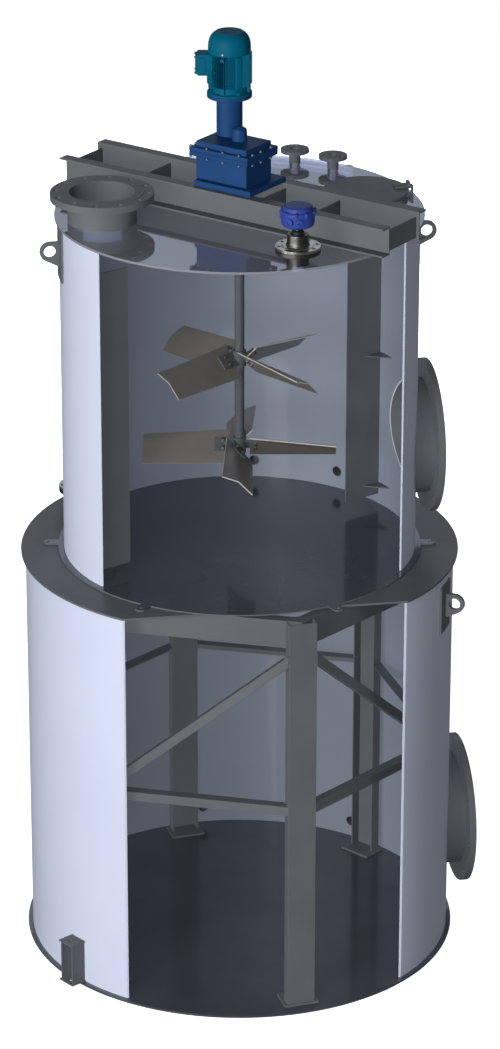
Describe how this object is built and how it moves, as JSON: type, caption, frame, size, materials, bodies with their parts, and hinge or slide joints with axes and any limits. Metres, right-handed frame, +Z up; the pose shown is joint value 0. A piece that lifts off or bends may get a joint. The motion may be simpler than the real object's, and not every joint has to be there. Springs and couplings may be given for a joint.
{
  "type": "two-stage mixing and storage tank, cut open",
  "caption": "Tall steel process tank in two stacked stages, cut open at the front, with a top-driven two-impeller agitator, manholes, nozzles and an inner support frame.",
  "frame": {"origin": "centre of the underside of the base plate, on the axis of both tanks", "axes": "+Z up along the tank axis; -Y is the cut-open side that faces the viewer of the picture; +X is the side of the manholes"},
  "size_m": [2.4668, 2.4365, 5],
  "materials": {
    "shell_paint": "smooth semi-gloss pale blue grey paint",
    "steel_paint": "satin dark grey paint",
    "dark_paint": "satin charcoal paint",
    "floor_paint": "glossy near-black paint",
    "clear_roof": "clear sheet with a faint violet tint",
    "gear_blue": "satin blue enamel on castings",
    "motor_blue": "satin teal enamel on castings",
    "head_blue": "matt blue moulding",
    "stainless": "machined stainless steel",
    "blade_steel": "dull grey sheet steel"
  },
  "bodies": {
    "vessel": {"anchor_chair_1": "steel_paint", "anchor_chair_2": "steel_paint", "anchor_chair_3": "steel_paint", "baffle_left": "dark_paint", "baffle_right": "dark_paint", "base_plate": "floor_paint", "bridge_frame": "steel_paint", "cover_ring": "steel_paint", "drain_nozzle_1": "steel_paint", "drain_nozzle_2": "steel_paint", "frame_brace_left": "steel_paint", "frame_brace_right": "steel_paint", "frame_column_1": "steel_paint", "frame_column_2": "steel_paint", "frame_column_3": "steel_paint", "frame_column_4": "steel_paint", "frame_column_5": "steel_paint", "frame_column_6": "steel_paint", "frame_rail_1": "steel_paint", "frame_rail_2": "steel_paint", "frame_rail_3": "steel_paint", "frame_rail_4": "steel_paint", "frame_rail_5": "steel_paint", "frame_rail_6": "steel_paint", "frame_top_beams": "steel_paint", "gearbox_cover": "gear_blue", "gearbox_housing": "gear_blue", "hatch_neck": "steel_paint", "lower_lug_1": "steel_paint", "lower_lug_2": "steel_paint", "lower_manhole": "steel_paint", "lower_nozzle_1": "steel_paint", "lower_nozzle_2": "steel_paint", "lower_shell": "shell_paint", "motor": "motor_blue", "motor_lantern": "gear_blue", "overflow_nozzle": "steel_paint", "ring_level_gauge": "head_blue", "ring_level_stub": "stainless", "roof_inlet_nozzle": "steel_paint", "roof_level_gauge": "head_blue", "roof_level_stub": "stainless", "roof_plate": "clear_roof", "upper_floor": "floor_paint", "upper_lug_1": "steel_paint", "upper_lug_2": "steel_paint", "upper_manhole": "steel_paint", "upper_shell": "shell_paint", "vent_nozzle_1": "steel_paint", "vent_nozzle_2": "steel_paint"},
    "agitator": {"agitator_shaft": "steel_paint", "lower_blade_1": "blade_steel", "lower_blade_2": "blade_steel", "lower_blade_3": "blade_steel", "lower_blade_4": "blade_steel", "upper_blade_1": "blade_steel", "upper_blade_2": "blade_steel", "upper_blade_3": "blade_steel", "upper_blade_4": "blade_steel"},
    "lid": {"hatch_lid": "steel_paint"}
  },
  "joints": [
    {"name": "agitator_spin", "type": "hinge", "parent": "vessel", "child": "agitator", "pos_m": [0, 0, 3], "axis": [0, 0, 1], "continuous": true},
    {"name": "hatch_hinge", "type": "hinge", "parent": "vessel", "child": "lid", "pos_m": [0.88548, 0.31709, 4.115], "axis": [-0.2334, 0.9724, 0], "range_deg": [0, 100]}
  ]
}
